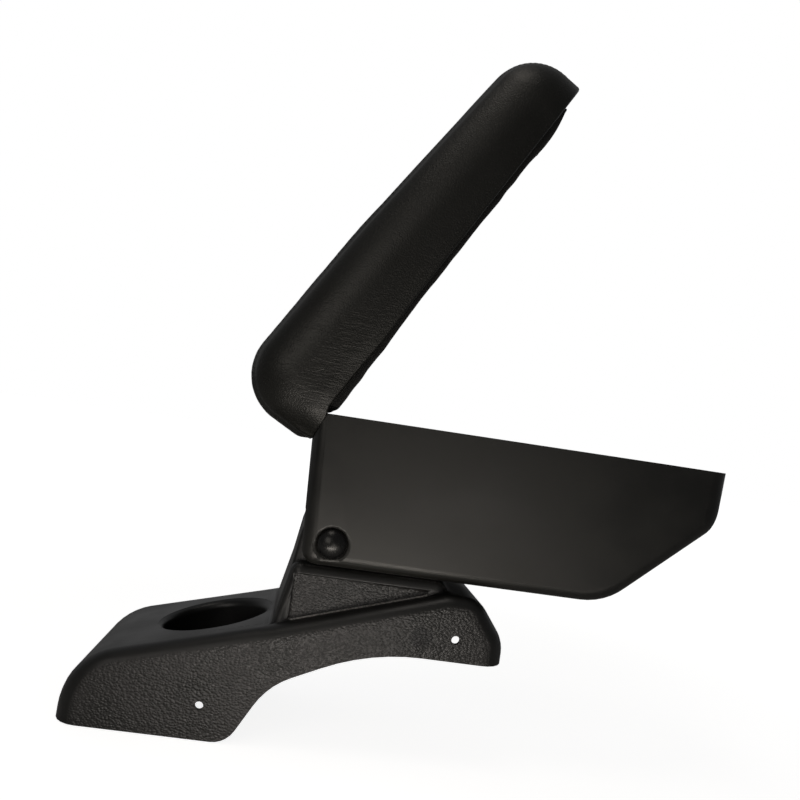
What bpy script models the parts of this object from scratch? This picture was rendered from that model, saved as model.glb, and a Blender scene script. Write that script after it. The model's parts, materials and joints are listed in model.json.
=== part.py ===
"""Car centre-console armrest: a moulded console base with a cup well, a storage
box that tilts on a pivot, and a padded lid on a hinge, shown open.

Metres, +Z up, +X to the front of the car, the width symmetric about Y = 0.
The origin is on the rim of the rear foot, where the base meets the console.
"""
import math

import bmesh
import bpy
from mathutils import Vector

for old in list(bpy.data.objects):
    bpy.data.objects.remove(old, do_unlink=True)

# Driving dimensions

WALL = 0.0030               # wall of the base and of the box
SEAT_GAP = 0.0003           # between pieces that touch
SAGITTA = 0.00012           # how far a flat may lie inside its arc
THROUGH = 0.0100            # how far a cutting body runs past a face

# Base shell
BASE_LENGTH = 0.3085
BASE_HALF = 0.068           # half width of the base
FOOT_STEP = 0.076           # height of the front foot above the rear foot
DECK_REAR = 0.0436          # height of the deck's line above the rear foot's face
DECK_SLOPE = math.radians(15.6)
DECK_BEND_X = 0.1345        # steeper in front of this
DECK_BEND_R = 0.2000
DECK_FRONT_SLOPE = math.radians(17.4)
DECK_EDGE_R = 0.011         # fillet along the top edges of the sides
END_CORNER_R = 0.0170       # upright corners at both ends, in plan
REAR_TOP_R = 0.0480         # rear face into deck
REAR_DRAFT = 0.0020         # how far the rear face leans in on its way up
CREST_X = 0.2635            # where the deck levels off
CREST_FALL = 0.0010
CREST_R = 0.0220
CREST_LEN = 0.0215
NOSE_R = 0.0240
NOSE_DROP = 0.0300          # height of the sloped nose in front of the crest

# Arch under the middle of the base
ARCH_TOE_X = 0.1205         # end of the rear foot
ARCH_BEND_X = 0.1440
ARCH_BEND_Z = 0.0435
ARCH_TOP_X = 0.2120         # start of the front foot's level edge
ARCH_TOE_R = 0.0180
ARCH_BEND_R = 0.0520
ARCH_TOP_R = 0.1600

# Cup well
CUP_X = 0.0955
CUP_R = 0.0380
CUP_LIP_R = 0.0060
CUP_DEPTH = 0.0500
CUP_FLOOR_R = 0.0060        # wall into floor
CUP_TAPER = 0.0010          # the floor is this much smaller
CUP_BLEND = 0.0120          # below the lip, where the wall starts to follow the deck

# Screw holes in the side walls
SIDE_HOLE_R = 0.0030
REAR_HOLE = (0.0990, 0.0240)
FRONT_HOLE = (0.2698, 0.0917)

# Pivot of the box, and the pedestal that carries it
PIVOT_X = 0.1745
PIVOT_Z = 0.1457
LEDGE_DROP = 0.0169         # ledge below the pivot
PED_HALF = 0.0530
PED_BACK = 0.0252           # rear face behind the pivot, at the ledge
PED_LEAN = math.radians(11.8)
PED_FRONT = 0.0840          # end of the ledge in front of the pivot
PED_ROOT = 0.0600           # how far the pedestal runs down into the base
PED_FRONT_RUN = 0.0420      # and its front out, on the way
PED_EDGE_R = 0.0080         # across the ledge's ends
PED_SIDE_R = 0.0074         # along its sides
PED_WALL = 0.0028
CHEEK_DEPTH = 0.0025        # recess in each cheek
CHEEK_FRAME = 0.0090        # band above the recess
CHEEK_REAR = 0.0230         # recess's rear edge, behind the pivot
CHEEK_FOOT = 0.0004         # recess above the deck
CHEEK_CORNER_R = 0.0015
CHEEK_DRAFT = 0.0012        # wider at the face
HUB_HALF = 0.0440
HUB_R = 0.0230
HUB_EDGE_R = 0.0030
HUB_ROOT = 0.0100           # how far the hub runs down below the ledge
HUB_STEPS = 14

# Pivot hardware
BOLT_R = 0.0040
BOLT_FIT = 0.0003           # round the bolt in its holes
SLEEVE_WALL = 0.0022
BOSS_R = 0.0130
BOSS_GAP = 0.0005           # boss to hub, each side
HEAD_AF = 0.0130
HEAD_H = 0.0045
WASHER_R = 0.0080
WASHER_T = 0.0014
POCKET_R = 0.0088           # round pocket for the bolt's head and nut
CAP_R = 0.0107
CAP_RISE = 0.0058
CAP_RINGS = 5
CAP_FLANGE = 0.0012
CAP_SPIGOT = 0.0035
RING_R = 0.0135             # shallow ring recess round the cap
RING_DEPTH = 0.0010

# Storage box
BOX_HALF = 0.0620
BOX_REAR = 0.0255           # rear face behind the pivot at the rim
BOX_REAR_LOW = 0.0205       # and at the bottom
BOX_FRONT = 0.2810          # front of the rim, in front of the pivot
BOX_RIM = 0.0907            # rim above the pivot
RIM_FALL = math.radians(0.3)   # the rim's slope down to the front, from the hinge
BOX_SIDE_R = 0.0080         # fillet along the lower edges
BOX_REAR_R = 0.0095
BOX_FRONT_R = 0.0160
BOX_HEEL_R = 0.0110
KEEL_X = 0.2020             # where the bottom turns up
RAMP_X = 0.2790             # end of the sloped front
RAMP_Z = 0.0510             # above the pivot
KEEL_R = 0.0500
RAMP_R = 0.0270
CHAMFER_TOP = 0.0166        # chamfered rear top corner, from the pivot
CHAMFER_LOW = 0.0241
CHAMFER_H = 0.0187
HOUSING_R = 0.0310          # clear radius round the pivot for the hub
SKIN_LAP = 0.0004           # the side walls' thinning stops this far inside it

# Lid
HINGE_X = 0.0183            # hinge axis behind the pivot, level with the rim
LID_OPEN = math.radians(59.9)
LID_OVERHANG = 0.0040       # lid past the box, each side
LID_HALF = BOX_HALF + LID_OVERHANG
LID_REAR = 0.0251           # cushion behind the hinge
LID_FRONT = 0.3034          # cushion in front of the hinge
LID_BASE = 0.0010           # edge of the leather above the hinge axis
LID_H_REAR = 0.0668
LID_H_FRONT = 0.0485
LID_REAR_R = 0.0385
LID_FRONT_R = 0.0330
LID_EDGE_R = 0.0250         # along the top's long edges
LID_END_R = 0.0260          # round both ends, in plan
LID_REAR_LEAN = 0.0024      # how far the rear end leans out on its way up
LID_FRONT_LEAN = 0.0008     # and the front end
LID_SWELL_X = 0.1200        # the top's gentle bend, and its height
LID_SWELL_Z = 0.0628
LID_SWELL_R = 0.8000
BOARD_INSET = 0.0045
BOARD_T = 0.0080
LINING_T = 0.0045
LINING_INSET = 0.0088       # lining inside the lid's edge, each side
LINING_HALF = LID_HALF - LINING_INSET
LINING_REAR = 0.0069        # lining starts in front of the hinge
LINING_FRONT = 0.2829
LINING_R = 0.0140

# Hinge
LEAF_T = 0.0010
LEAF_HALF = BOX_HALF - 0.0140
LEAF_LEN = 0.0160
LEAF_POCKET = 0.0012        # depth of its pocket in the box
LEAF_BACK = 0.0040          # the pocket runs this far past the hinge axis
KNUCKLE_R = 0.0025
KNUCKLES = 5
KNUCKLE_GAP = 0.0004
KNUCKLE_RELIEF = 0.0008
PIN_R = 0.0013
PIN_FIT = 0.0003
SCREW_R = 0.0024
SCREW_SHANK_R = 0.0012
SCREW_FIT = 0.0002          # round a shank in its hole
SCREW_BITE = 0.0028         # into the box, past the leaf
SCREW_BITE_LID = 0.0035     # into the lid board
HOLE_FLOOR = 0.0020         # left above a blind hole in the board
SCREW_HEAD = 0.0007
SCREW_X = 0.0100            # along the leaf from the hinge axis
SCREW_Y = [LEAF_HALF * share for share in (-0.75, -0.25, 0.25, 0.75)]
LINING_SCREW_R = 0.0035
LINING_SCREW_HEAD = 0.0012
LINING_SCREW_X = (0.040, 0.250)
LINING_SCREW_Y = LINING_HALF - 0.0172

PIVOT = Vector((PIVOT_X, 0.0, PIVOT_Z))
HINGE = PIVOT + Vector((-HINGE_X, 0.0, BOX_RIM))


# Outlines: a sketch of corners with fillets, as (x, z, radius)

def rounded(corners, closed=True):
    """Straight runs and fillets, no chord further than SAGITTA from its arc."""
    points = []
    count = len(corners)
    for i, (x, z, r) in enumerate(corners):
        here = Vector((x, z))
        if r <= 0.0 or (not closed and i in (0, count - 1)):
            points.append(here)
            continue
        a = (Vector(corners[i - 1][:2]) - here).normalized()
        b = (Vector(corners[(i + 1) % count][:2]) - here).normalized()
        half = math.acos(max(-1.0, min(1.0, a.dot(b)))) / 2.0
        centre = here + (a + b).normalized() * (r / math.sin(half))
        start = here + a * (r / math.tan(half)) - centre
        turn = math.pi - 2.0 * half
        if start.x * a.y - start.y * a.x > 0.0:
            turn = -turn
        steps = max(2, math.ceil(abs(turn) / (2.0 * math.acos(1.0 - SAGITTA / r))))
        for k in range(steps + 1):
            c, s = math.cos(turn * k / steps), math.sin(turn * k / steps)
            points.append(centre + Vector((start.x * c - start.y * s,
                                           start.x * s + start.y * c)))
    return points


def outward(points, closed=True):
    """Normals of an outline that runs clockwise seen from -Y (z up, x right)."""
    normals = []
    count = len(points)
    for i, p in enumerate(points):
        before = points[i - 1] if closed or i > 0 else None
        after = points[(i + 1) % count] if closed or i < count - 1 else None
        n = Vector((0.0, 0.0))
        if before is not None:
            d = (p - before).normalized()
            n += Vector((-d.y, d.x))
        if after is not None:
            d = (after - p).normalized()
            n += Vector((-d.y, d.x))
        normals.append(n.normalized())
    return normals


def offset(points, distance, closed=True):
    """The outline moved along its normals, its corners kept sharp."""
    moved = []
    count = len(points)
    for i, p in enumerate(points):
        dirs = []
        if closed or i > 0:
            dirs.append((p - points[i - 1]).normalized())
        if closed or i < count - 1:
            dirs.append((points[(i + 1) % count] - p).normalized())
        sides = [Vector((-d.y, d.x)) for d in dirs]
        n = sum(sides, Vector((0.0, 0.0))).normalized()
        moved.append(p + n * (distance / max(0.3, n.dot(sides[0]))))
    return moved


# Solids

def new_object(name, bm):
    bmesh.ops.recalc_face_normals(bm, faces=bm.faces[:])
    mesh = bpy.data.meshes.new(name)
    bm.to_mesh(mesh)
    bm.free()
    obj = bpy.data.objects.new(name, mesh)
    bpy.context.scene.collection.objects.link(obj)
    return obj


def skin(name, rings):
    """A closed body through rings with the same number of points."""
    bm = bmesh.new()
    loops = [[bm.verts.new(p) for p in ring] for ring in rings]
    for one, two in zip(loops, loops[1:]):
        for i in range(len(one)):
            j = (i + 1) % len(one)
            bm.faces.new((one[i], one[j], two[j], two[i]))
    bm.faces.new(loops[0][::-1])
    bm.faces.new(loops[-1])
    return new_object(name, bm)


def pillow(name, points, normals, radii, half, steps=5):
    """A side outline across the full width, its edges rounded by its own radii."""
    rings = []
    for side in (-1.0, 1.0):
        angles = [math.pi / 2 * k / steps for k in range(steps + 1)]
        if side < 0:
            angles.reverse()
        for a in angles:
            ring = []
            for p, n, r in zip(points, normals, radii):
                q = p - n * (r * (1.0 - math.cos(a)))
                ring.append((q.x, side * (half - r * (1.0 - math.sin(a))), q.y))
            rings.append(ring)
    return skin(name, rings)


def prism(name, points, y0, y1, draft=0.0):
    """An outline between two planes, wider by the draft at the second one."""
    wide = offset(points, draft) if draft else points
    return skin(name, [[(p.x, y0, p.y) for p in points],
                       [(p.x, y1, p.y) for p in wide]])


def tube_y(name, radius, y0, y1, x=0.0, z=0.0, sides=24, turn=0.0):
    ring = [(radius * math.cos(turn + 2 * math.pi * k / sides),
             radius * math.sin(turn + 2 * math.pi * k / sides)) for k in range(sides)]
    return skin(name, [[(x + a, y, z + b) for a, b in ring] for y in (y0, y1)])


def lathe(name, profile, sides=48, place=lambda r, h, a: (r * math.cos(a), r * math.sin(a), h)):
    """A turned body from (radius, height) points, its ends on the axis."""
    bm = bmesh.new()
    rows = []
    for r, h in profile:
        if r == 0.0:
            rows.append([bm.verts.new(place(0.0, h, 0.0))])
        else:
            rows.append([bm.verts.new(place(r, h, 2 * math.pi * k / sides))
                         for k in range(sides)])
    for one, two in zip(rows, rows[1:]):
        for i in range(sides):
            j = (i + 1) % sides
            quad = [one[i % len(one)], one[j % len(one)], two[j % len(two)], two[i % len(two)]]
            bm.faces.new(list(dict.fromkeys(quad)))
    return new_object(name, bm)


def combine(obj, other, how):
    """Joins, cuts or meets two bodies, and uses the second one up."""
    mod = obj.modifiers.new(how, 'BOOLEAN')
    mod.operation = how
    mod.solver = 'EXACT'
    mod.object = other
    bpy.context.view_layer.update()
    graph = bpy.context.evaluated_depsgraph_get()
    mesh = bpy.data.meshes.new_from_object(obj.evaluated_get(graph))
    obj.modifiers.clear()
    obj.data = mesh
    bpy.data.objects.remove(other, do_unlink=True)
    return obj


def join(obj, *others):
    for other in others:
        combine(obj, other, 'UNION')
    return obj


def cut(obj, *others):
    for other in others:
        combine(obj, other, 'DIFFERENCE')
    return obj


def material(name, colour, roughness, metallic=0.0):
    found = bpy.data.materials.get(name) or bpy.data.materials.new(name)
    found.use_nodes = True
    shader = found.node_tree.nodes['Principled BSDF']
    shader.inputs['Base Color'].default_value = (*colour, 1.0)
    shader.inputs['Roughness'].default_value = roughness
    shader.inputs['Metallic'].default_value = metallic
    return found


def empty(name, where, tilt=0.0, parent=None):
    holder = bpy.data.objects.new(name, None)
    bpy.context.scene.collection.objects.link(holder)
    if parent is not None:
        holder.parent = parent
        where = where - parent.location
    holder.location = where
    holder.rotation_euler = (0.0, tilt, 0.0)
    return holder


def finish(obj, name, mat, parent=None):
    """Names a piece and gives it its material, smooth where it is round."""
    bm = bmesh.new()
    bm.from_mesh(obj.data)
    bmesh.ops.remove_doubles(bm, verts=bm.verts[:], dist=0.000004)
    bmesh.ops.triangulate(bm, faces=[f for f in bm.faces if len(f.verts) > 4])
    bm.to_mesh(obj.data)
    bm.free()
    obj.name = name
    obj.data.name = name
    obj.data.materials.clear()
    obj.data.materials.append(mat)
    obj.data.shade_smooth()
    obj.data.set_sharp_from_angle(angle=math.radians(35))
    obj.parent = parent
    return obj


# Materials, linear colours

GRAINED = material("grained_plastic", (0.028, 0.027, 0.030), 0.62)
SATIN = material("satin_plastic", (0.024, 0.024, 0.022), 0.48)
GLOSS = material("gloss_plastic", (0.015, 0.015, 0.015), 0.18)
LEATHER = material("synthetic_leather", (0.015, 0.014, 0.011), 0.55)
LINING = material("lining_cloth", (0.006, 0.006, 0.006), 0.90)
BOARD = material("lid_board_plastic", (0.020, 0.020, 0.020), 0.70)
ZINC = material("zinc_steel", (0.45, 0.45, 0.43), 0.38, 1.0)

BOX_TILT = empty("box_tilt", PIVOT)
LID_SWING = empty("lid_hinge", HINGE, -LID_OPEN, BOX_TILT)


# Base shell

def deck_z(x):
    """Height of the deck along the middle."""
    rear = DECK_REAR + math.tan(DECK_SLOPE) * min(x, DECK_BEND_X)
    return rear + math.tan(DECK_FRONT_SLOPE) * max(0.0, x - DECK_BEND_X)


BASE_REAR = -WALL / 2.0
BASE_FRONT = BASE_REAR + BASE_LENGTH
BELOW = -0.050


def base_outline(inset, below):
    """Rear face, deck, crest and nose, open at the foot."""
    corners = [
        (BASE_REAR, below, 0.0),
        (BASE_REAR + REAR_DRAFT, deck_z(BASE_REAR + REAR_DRAFT), REAR_TOP_R),
        (DECK_BEND_X, deck_z(DECK_BEND_X), DECK_BEND_R),
        (CREST_X, deck_z(CREST_X), CREST_R),
        (CREST_X + CREST_LEN, deck_z(CREST_X) - CREST_FALL, CREST_R),
        (BASE_FRONT, deck_z(CREST_X) - NOSE_DROP, NOSE_R),
        (BASE_FRONT, below, 0.0),
    ]
    points = rounded(corners, closed=False)
    return offset(points, -inset, closed=False)


def base_body(name, inset, below):
    points = base_outline(inset, below)
    normals = outward(points, closed=False)
    radii = []
    for p, n in zip(points, normals):
        upright = min(1.0, abs(n.x)) ** 3
        r = DECK_EDGE_R + (END_CORNER_R - DECK_EDGE_R) * upright
        radii.append(r - inset)
    return pillow(name, points, normals, radii, BASE_HALF - inset)


def pedestal_outline(inset):
    back = PIVOT_X - PED_BACK
    top = PIVOT_Z - LEDGE_DROP
    lean = math.tan(PED_LEAN)
    corners = [
        (back - lean * PED_ROOT, top - PED_ROOT, 0.0),
        (back, top, 0.0),
        (PIVOT_X + PED_FRONT, top, 0.0),
        (PIVOT_X + PED_FRONT + PED_FRONT_RUN, top - PED_ROOT, 0.0),
    ]
    flat = offset([Vector(c[:2]) for c in corners], -inset)
    return rounded([(p.x, p.y, r - inset if r else 0.0)
                    for p, r in zip(flat, (0.0, PED_EDGE_R, PED_EDGE_R, 0.0))])


def pedestal_body(name, inset, thinner=0.0):
    points = pedestal_outline(inset)
    normals = outward(points)
    return pillow(name, points, normals, [PED_SIDE_R - inset] * len(points),
                  PED_HALF - inset - thinner, steps=4)


def hub_outline(inset):
    """A round head on a neck whose back runs down to the pedestal's back."""
    r = HUB_R - inset
    low = -LEDGE_DROP - HUB_ROOT
    foot = -PED_BACK + inset / math.cos(PED_LEAN) - math.tan(PED_LEAN) * HUB_ROOT
    points = [(foot, low)]
    for k in range(HUB_STEPS + 1):
        a = math.radians(172 - 180 * k / HUB_STEPS)
        points.append((r * math.cos(a), r * math.sin(a)))
    points.append((r, low))
    return [Vector((PIVOT_X + x, PIVOT_Z + z)) for x, z in points]


def hub_body(name, inset):
    points = hub_outline(inset)
    normals = outward(points)
    radius = max(0.0006, HUB_EDGE_R - inset)
    return pillow(name, points, normals, [radius] * len(points), HUB_HALF - inset, steps=2)


def cup_place(tilt_from, tilt_to):
    """Keeps the well upright while its rim follows the slope of the deck."""
    def place(r, h, a):
        x = r * math.cos(a)
        share = min(1.0, max(0.0, (h - tilt_from) / (tilt_to - tilt_from)))
        lift = share * math.tan(DECK_SLOPE) * x
        return (CUP_X + x, r * math.sin(a), deck_z(CUP_X) + h + lift)
    return place


def cup_profile(inset, top, last, flare=0.0):
    """Wall, lip and floor of the well, from the floor's middle to the top."""
    r = CUP_R + inset
    floor = -CUP_DEPTH - inset
    lip = CUP_LIP_R - inset
    corner = CUP_FLOOR_R + inset
    points = [(0.0, floor), (r - corner - CUP_TAPER, floor)]
    for k in range(1, 4):
        a = math.pi / 2 * k / 3
        points.append((r - CUP_TAPER - corner + corner * math.sin(a),
                       floor + corner - corner * math.cos(a)))
    for k in range(5):
        a = last * k / 4
        points.append((CUP_R + CUP_LIP_R - lip * math.cos(a), -CUP_LIP_R + lip * math.sin(a)))
    points.append((points[-1][0] + flare, top))
    points.append((0.0, top))
    return points


base = base_body("base", 0.0, BELOW)
join(base, pedestal_body("pedestal", 0.0), hub_body("hub", 0.0))
cut(base, base_body("hollow", WALL, BELOW - THROUGH))
cut(base, pedestal_body("ped_hollow", PED_WALL, CHEEK_DEPTH), hub_body("hub_hollow", WALL))
slope_band = (-CUP_LIP_R - CUP_BLEND, -CUP_LIP_R)
join(base, lathe("well", cup_profile(WALL, -WALL / 2, math.radians(80)),
                 place=cup_place(*slope_band)))
cut(base, lathe("well_cut", cup_profile(0.0, CUP_LIP_R, math.radians(76), CUP_TAPER),
                place=cup_place(*slope_band)))

foot = rounded([
    (BASE_REAR - THROUGH, 0.0, 0.0),
    (ARCH_TOE_X, 0.0, ARCH_TOE_R),
    (ARCH_BEND_X, ARCH_BEND_Z, ARCH_BEND_R),
    (ARCH_TOP_X, FOOT_STEP, ARCH_TOP_R),
    (BASE_FRONT + THROUGH, FOOT_STEP, 0.0),
    (BASE_FRONT + THROUGH, BELOW - 2 * THROUGH, 0.0),
    (BASE_REAR - THROUGH, BELOW - 2 * THROUGH, 0.0),
])
cut(base, prism("underside", foot, -BASE_HALF - THROUGH, BASE_HALF + THROUGH))

for side in (-1.0, 1.0):
    back = PIVOT_X - CHEEK_REAR
    top = PIVOT_Z - LEDGE_DROP - CHEEK_FRAME
    tip_x = DECK_BEND_X + (top - CHEEK_FOOT - deck_z(DECK_BEND_X)) / math.tan(DECK_FRONT_SLOPE)
    cheek = rounded([
        (back, deck_z(back) + CHEEK_FOOT, CHEEK_CORNER_R),
        (back, top, CHEEK_CORNER_R),
        (tip_x, top, CHEEK_CORNER_R),
    ])
    deep = side * (PED_HALF - CHEEK_DEPTH)
    cut(base, prism("cheek", cheek, deep, deep + side * (CHEEK_DEPTH + SKIN_LAP * 5), CHEEK_DRAFT))
    for x, z in (REAR_HOLE, FRONT_HOLE):
        cut(base, tube_y("hole", SIDE_HOLE_R, side * (BASE_HALF - THROUGH),
                         side * (BASE_HALF + THROUGH), x, z, 16))
SLEEVE_R = BOLT_R + BOLT_FIT + SLEEVE_WALL
cut(base, tube_y("hub_bore", SLEEVE_R + SEAT_GAP, -HUB_HALF - THROUGH, HUB_HALF + THROUGH,
                 PIVOT_X, PIVOT_Z))
finish(base, "base_shell", GRAINED)

# Pivot sleeve, held in the hub's two walls

sleeve = tube_y("sleeve", SLEEVE_R, -HUB_HALF, HUB_HALF, PIVOT_X, PIVOT_Z)
cut(sleeve, tube_y("sleeve_bore", BOLT_R + BOLT_FIT, -HUB_HALF - THROUGH, HUB_HALF + THROUGH,
                   PIVOT_X, PIVOT_Z))
finish(sleeve, "pivot_sleeve", ZINC)


# Storage box, round its own pivot

def rim_z(x):
    """Height of the box's rim, which falls towards the front from the hinge."""
    return BOX_RIM - math.tan(RIM_FALL) * (x + HINGE_X)


def box_outline(inset, above):
    corners = [
        (-BOX_REAR, BOX_RIM, 0.0),
        (-BOX_REAR_LOW, -LEDGE_DROP + SEAT_GAP, BOX_HEEL_R),
        (KEEL_X, -LEDGE_DROP + SEAT_GAP, KEEL_R),
        (RAMP_X, RAMP_Z, RAMP_R),
        (BOX_FRONT, BOX_RIM, 0.0),
    ]
    flat = offset([Vector(c[:2]) for c in corners][::-1], -inset, closed=False)
    radii = [c[2] for c in corners][::-1]
    points = rounded([(p.x, p.y, r - inset if r else 0.0) for p, r in zip(flat, radii)],
                     closed=False)
    for end, near, x in ((0, 1, BOX_FRONT), (-1, -2, -BOX_REAR)):
        wall = points[end] - points[near]
        rise = rim_z(x) + above - points[near].y
        points[end] = points[near] + wall * (rise / wall.y)
    return points


def box_body(name, inset, above):
    points = box_outline(inset, above)
    normals = outward(points, closed=False)
    normals[0] = Vector((1.0, 0.0))
    normals[-1] = Vector((-1.0, 0.0))
    radii = []
    for n in normals:
        upright = abs(n.x) ** 3
        end = BOX_FRONT_R if n.x > 0 else BOX_REAR_R
        radii.append(BOX_SIDE_R + (end - BOX_SIDE_R) * upright - inset)
    return pillow(name, points, normals, radii, BOX_HALF - inset)


def corner_cut(inset, half):
    """Behind and above the chamfer of the rear top corner."""
    run = Vector((CHAMFER_TOP - CHAMFER_LOW, -CHAMFER_H)).normalized()
    out = Vector((run.y, -run.x))
    start = Vector((-CHAMFER_TOP, BOX_RIM)) - out * inset
    a = start - run * CHAMFER_H * 2
    b = start + run * CHAMFER_H * 3
    points = [a, b, b + out * CHAMFER_H * 3, a + out * CHAMFER_H * 3]
    return prism("corner", points[::-1], -half, half)


box = box_body("box", 0.0, 0.0)
cut(box, corner_cut(0.0, BOX_HALF + THROUGH))
hollow = box_body("box_hollow", WALL, THROUGH)
cut(hollow, corner_cut(WALL, BOX_HALF + THROUGH))
cut(hollow, tube_y("housing", HOUSING_R + WALL, -BOX_HALF, BOX_HALF, sides=48))
cut(box, hollow)
SIDE_STRIP = BOX_HALF - BOX_SIDE_R
cut(box, tube_y("hub_space", HOUSING_R, -SIDE_STRIP, SIDE_STRIP, sides=48))
inside = box_body("inside", WALL, THROUGH)
combine(inside, tube_y("reach", HOUSING_R - SKIN_LAP, -BOX_HALF, BOX_HALF, sides=48), 'INTERSECT')
cut(box, inside)
BOSS_END = HUB_HALF + BOSS_GAP
SEAT = BOX_HALF - RING_DEPTH - CAP_SPIGOT - HEAD_H - WASHER_T
for side in (-1.0, 1.0):
    join(box, tube_y("boss", BOSS_R, side * BOSS_END, side * (BOX_HALF - WALL / 2)))
    cut(box, tube_y("ring", RING_R, side * (BOX_HALF - RING_DEPTH), side * (BOX_HALF + THROUGH),
                    sides=32))
    cut(box, tube_y("pocket", POCKET_R, side * SEAT, side * (BOX_HALF + THROUGH), sides=32))
cut(box, tube_y("bolt_hole", BOLT_R + BOLT_FIT, -BOX_HALF, BOX_HALF))

# Hinge leaf pockets and knuckle relief in the box
CHAMFER_RUN = Vector((CHAMFER_TOP - CHAMFER_LOW, -CHAMFER_H)).normalized()
CHAMFER_OUT = Vector((CHAMFER_RUN.y, -CHAMFER_RUN.x))
AXIS = Vector((-HINGE_X, BOX_RIM))


def on_chamfer(along, out):
    """A point by its distance down the chamfer from the hinge and out of its face."""
    top = Vector((-CHAMFER_TOP, BOX_RIM))
    foot_of_axis = top + CHAMFER_RUN * (AXIS - top).dot(CHAMFER_RUN)
    return foot_of_axis + CHAMFER_RUN * along + CHAMFER_OUT * out


pocket = [on_chamfer(a, b) for a, b in ((-LEAF_BACK, -LEAF_POCKET), (-LEAF_BACK, THROUGH),
                                        (LEAF_LEN + SEAT_GAP, THROUGH),
                                        (LEAF_LEN + SEAT_GAP, -LEAF_POCKET))]
cut(box, prism("leaf_pocket", pocket, -LEAF_HALF - SEAT_GAP, LEAF_HALF + SEAT_GAP))
cut(box, tube_y("relief", KNUCKLE_R + KNUCKLE_RELIEF, -LEAF_HALF - SEAT_GAP,
                LEAF_HALF + SEAT_GAP, AXIS.x, AXIS.y, 20))
for y in SCREW_Y:
    a = on_chamfer(SCREW_X, THROUGH)
    b = on_chamfer(SCREW_X, -THROUGH)
    ring = []
    for end in (a, b):
        centre = Vector((end.x, y, end.y))
        side_dir = Vector((CHAMFER_RUN.x, 0.0, CHAMFER_RUN.y))
        ring.append([centre + side_dir * ((SCREW_SHANK_R + SCREW_FIT) * math.cos(math.pi * k / 6))
                     + Vector((0, 1, 0)) * ((SCREW_SHANK_R + SCREW_FIT) * math.sin(math.pi * k / 6))
                     for k in range(12)])
    cut(box, skin("screw_hole", ring))
finish(box, "box_shell", SATIN, BOX_TILT)


# Pivot bolt, nut, washers and caps, all carried by the box

def hexagon(name, y0, y1):
    return tube_y(name, HEAD_AF / math.sqrt(3.0), y0, y1, sides=6)


inner = SEAT + WASHER_T + 2 * SEAT_GAP
bolt = hexagon("bolt", -inner, -inner - HEAD_H + 3 * SEAT_GAP)
join(bolt, tube_y("shank", BOLT_R, -inner - HEAD_H / 4, inner + HEAD_H - 4 * SEAT_GAP))
finish(bolt, "pivot_bolt", ZINC, BOX_TILT)
nut = hexagon("nut", inner, inner + HEAD_H - 4 * SEAT_GAP)
cut(nut, tube_y("thread", BOLT_R + SEAT_GAP, inner - THROUGH, inner + 2 * THROUGH))
finish(nut, "pivot_nut", ZINC, BOX_TILT)
for side, label in ((-1.0, "right"), (1.0, "left")):
    low = side * (SEAT + SEAT_GAP)
    washer = tube_y("washer", WASHER_R, low, low + side * WASHER_T)
    cut(washer, tube_y("eye", BOLT_R + BOLT_FIT, low - side * THROUGH, low + side * THROUGH))
    finish(washer, "pivot_washer_" + label, ZINC, BOX_TILT)
    face = BOX_HALF - RING_DEPTH + SEAT_GAP
    dome = [(0.0, face - CAP_SPIGOT), (POCKET_R - SEAT_GAP * 2, face - CAP_SPIGOT),
            (POCKET_R - SEAT_GAP * 2, face), (CAP_R, face), (CAP_R, face + CAP_FLANGE)]
    ball = (CAP_R ** 2 + CAP_RISE ** 2) / (2 * CAP_RISE)
    reach = math.asin(CAP_R / ball)
    for k in range(1, CAP_RINGS + 1):
        a = reach * (1 - k / CAP_RINGS)
        dome.append((ball * math.sin(a) if k < CAP_RINGS else 0.0,
                     face + CAP_FLANGE + ball * math.cos(a) - (ball - CAP_RISE)))
    cap = lathe("cap", dome, 32,
                lambda r, h, a, s=side: (r * math.cos(a), s * h, r * math.sin(a)))
    finish(cap, "pivot_cap_" + label, GLOSS, BOX_TILT)


# Hinge: leaves with knuckles in turn, on one pin

def knuckle_span(index):
    width = 2 * LEAF_HALF / KNUCKLES
    low = -LEAF_HALF + index * width
    return low + KNUCKLE_GAP / 2, low + width - KNUCKLE_GAP / 2


def hinge_leaf(name, plate, axis, own, holes):
    leaf = prism(name, plate, -LEAF_HALF, LEAF_HALF)
    for k in range(KNUCKLES):
        y0, y1 = knuckle_span(k)
        if k % 2 == own:
            join(leaf, tube_y("knuckle", KNUCKLE_R, y0, y1, axis.x, axis.y, 16))
        else:
            cut(leaf, tube_y("clear", KNUCKLE_R + KNUCKLE_RELIEF, y0 - KNUCKLE_GAP / 2,
                             y1 + KNUCKLE_GAP / 2, axis.x, axis.y, 16))
    cut(leaf, tube_y("pin_bore", PIN_R + PIN_FIT, -LEAF_HALF - THROUGH, LEAF_HALF + THROUGH,
                     axis.x, axis.y, 12))
    cut(leaf, *holes)
    return leaf


def rod(name, start, end, radius, sides=12):
    """A round rod between two points that lie in one plane across the width."""
    along = (end - start).normalized()
    flat = Vector((0.0, 1.0, 0.0))
    third = along.cross(flat)
    return skin(name, [[p + flat * (radius * math.cos(2 * math.pi * k / sides))
                        + third * (radius * math.sin(2 * math.pi * k / sides))
                        for k in range(sides)] for p in (start, end)])


def screw(name, face, inward, length):
    """A flat head on the leaf's face and a shank through it."""
    piece = rod(name, face, face - inward * SCREW_HEAD, SCREW_R, 16)
    return join(piece, rod("shank", face - inward * SCREW_HEAD / 2, face + inward * length,
                           SCREW_SHANK_R, 10))


def space(p, y):
    return Vector((p.x, y, p.y))


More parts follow.
